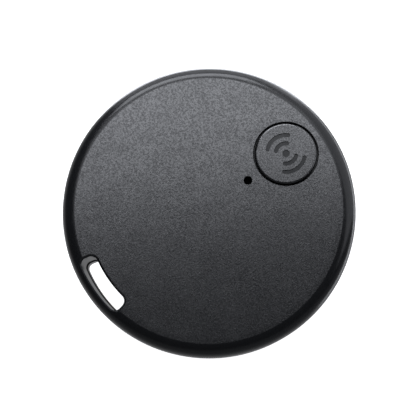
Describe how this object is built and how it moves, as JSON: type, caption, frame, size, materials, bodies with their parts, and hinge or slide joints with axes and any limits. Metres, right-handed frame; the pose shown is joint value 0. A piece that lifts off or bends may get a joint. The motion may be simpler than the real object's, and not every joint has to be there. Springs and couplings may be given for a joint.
{
  "type": "bluetooth tracker tag",
  "caption": "Round black tracker tag with a push button, a sound hole, a lanyard slot near the edge and a clip-on rear cover over a coin cell.",
  "frame": {"origin": "centre of the flat rear face, which the tag lies on", "axes": "+Z out of the front face, +Y from the centre towards the lanyard slot, so the button lies towards -Y; +X completes the right-handed frame"},
  "size_m": [0.04, 0.04, 0.0076],
  "materials": {
    "case_plastic": "fine spark-eroded texture on the flat front face, satin on the rounded edge",
    "button_plastic": "fine texture, smooth in the pressed symbol",
    "switch_plastic": "heat-proof moulding",
    "switch_plunger": "smooth",
    "switch_steel": "stamped",
    "spring_steel": "bright",
    "solder_tin": "tinned, bright",
    "board": "solder mask over glass epoxy, gilt pads",
    "chip_epoxy": "moulded epoxy",
    "crystal_lid": "nickel lid",
    "antenna_ceramic": "white ceramic",
    "capacitor_ceramic": "fired, semi-gloss",
    "resistor_glaze": "glazed",
    "ferrite": "ground ferrite",
    "foam": "closed-cell foam",
    "buzzer_brass": "rolled, satin",
    "buzzer_ceramic": "piezo ceramic",
    "buzzer_silver": "printed silver",
    "wire_red": "insulation",
    "wire_black": "insulation",
    "holder_plastic": "moulded",
    "screw_steel": "zinc plated",
    "contact_bronze": "gold-plated spring bronze",
    "battery_steel": "nickel-plated steel",
    "battery_seal": "moulded ring",
    "cathode": "pressed powder",
    "anode": "soft foil"
  },
  "bodies": {
    "case": {"front_shell": "case_plastic", "switch_base": "switch_plastic", "switch_terminals": "solder_tin", "switch_dome": "spring_steel", "switch_cover": "switch_steel", "circuit_board": "board", "radio_chip": "chip_epoxy", "radio_crystal": "crystal_lid", "clock_crystal": "crystal_lid", "chip_antenna": "antenna_ceramic", "capacitors": "capacitor_ceramic", "resistors": "resistor_glaze", "component_ends": "solder_tin", "buzzer_inductor": "ferrite", "drive_transistor": "chip_epoxy", "transistor_leads": "solder_tin", "buzzer_seal_ring": "foam", "buzzer_plate": "buzzer_brass", "buzzer_ceramic": "buzzer_ceramic", "buzzer_electrode": "buzzer_silver", "buzzer_wire_red": "wire_red", "buzzer_wire_black": "wire_black", "wire_solder_joints": "solder_tin", "battery_holder": "holder_plastic", "holder_screws": "screw_steel", "positive_contact": "contact_bronze", "negative_contact": "contact_bronze"},
    "rear_cover": {"rear_cover": "case_plastic", "battery_foam_pad": "foam"},
    "battery": {"battery_can": "battery_steel", "battery_gasket": "battery_seal", "battery_cap": "battery_steel", "battery_cathode": "cathode", "battery_anode": "anode"},
    "button": {"button_cap": "button_plastic"},
    "plunger": {"switch_plunger": "switch_plunger"}
  },
  "joints": [
    {"name": "rear_cover_lift", "type": "slide", "parent": "case", "child": "rear_cover", "axis": [0, 0, -1], "range_m": [0, 0.014]},
    {"name": "battery_lift", "type": "slide", "parent": "case", "child": "battery", "axis": [0, 0, -1], "range_m": [0, 0.007]},
    {"name": "button_press", "type": "slide", "parent": "case", "child": "button", "axis": [0, 0, -1], "range_m": [0, 0.0002], "stiffness_N_per_m": 6000},
    {"name": "plunger_press", "type": "slide", "parent": "case", "child": "plunger", "axis": [0, 0, -1], "range_m": [0, 0.0002], "deforming": ["switch_dome"]}
  ],
  "couplings": [
    {"joint": "battery_lift", "follows": "rear_cover_lift", "ratio": 0.5},
    {"joint": "plunger_press", "follows": "button_press", "ratio": 1}
  ]
}
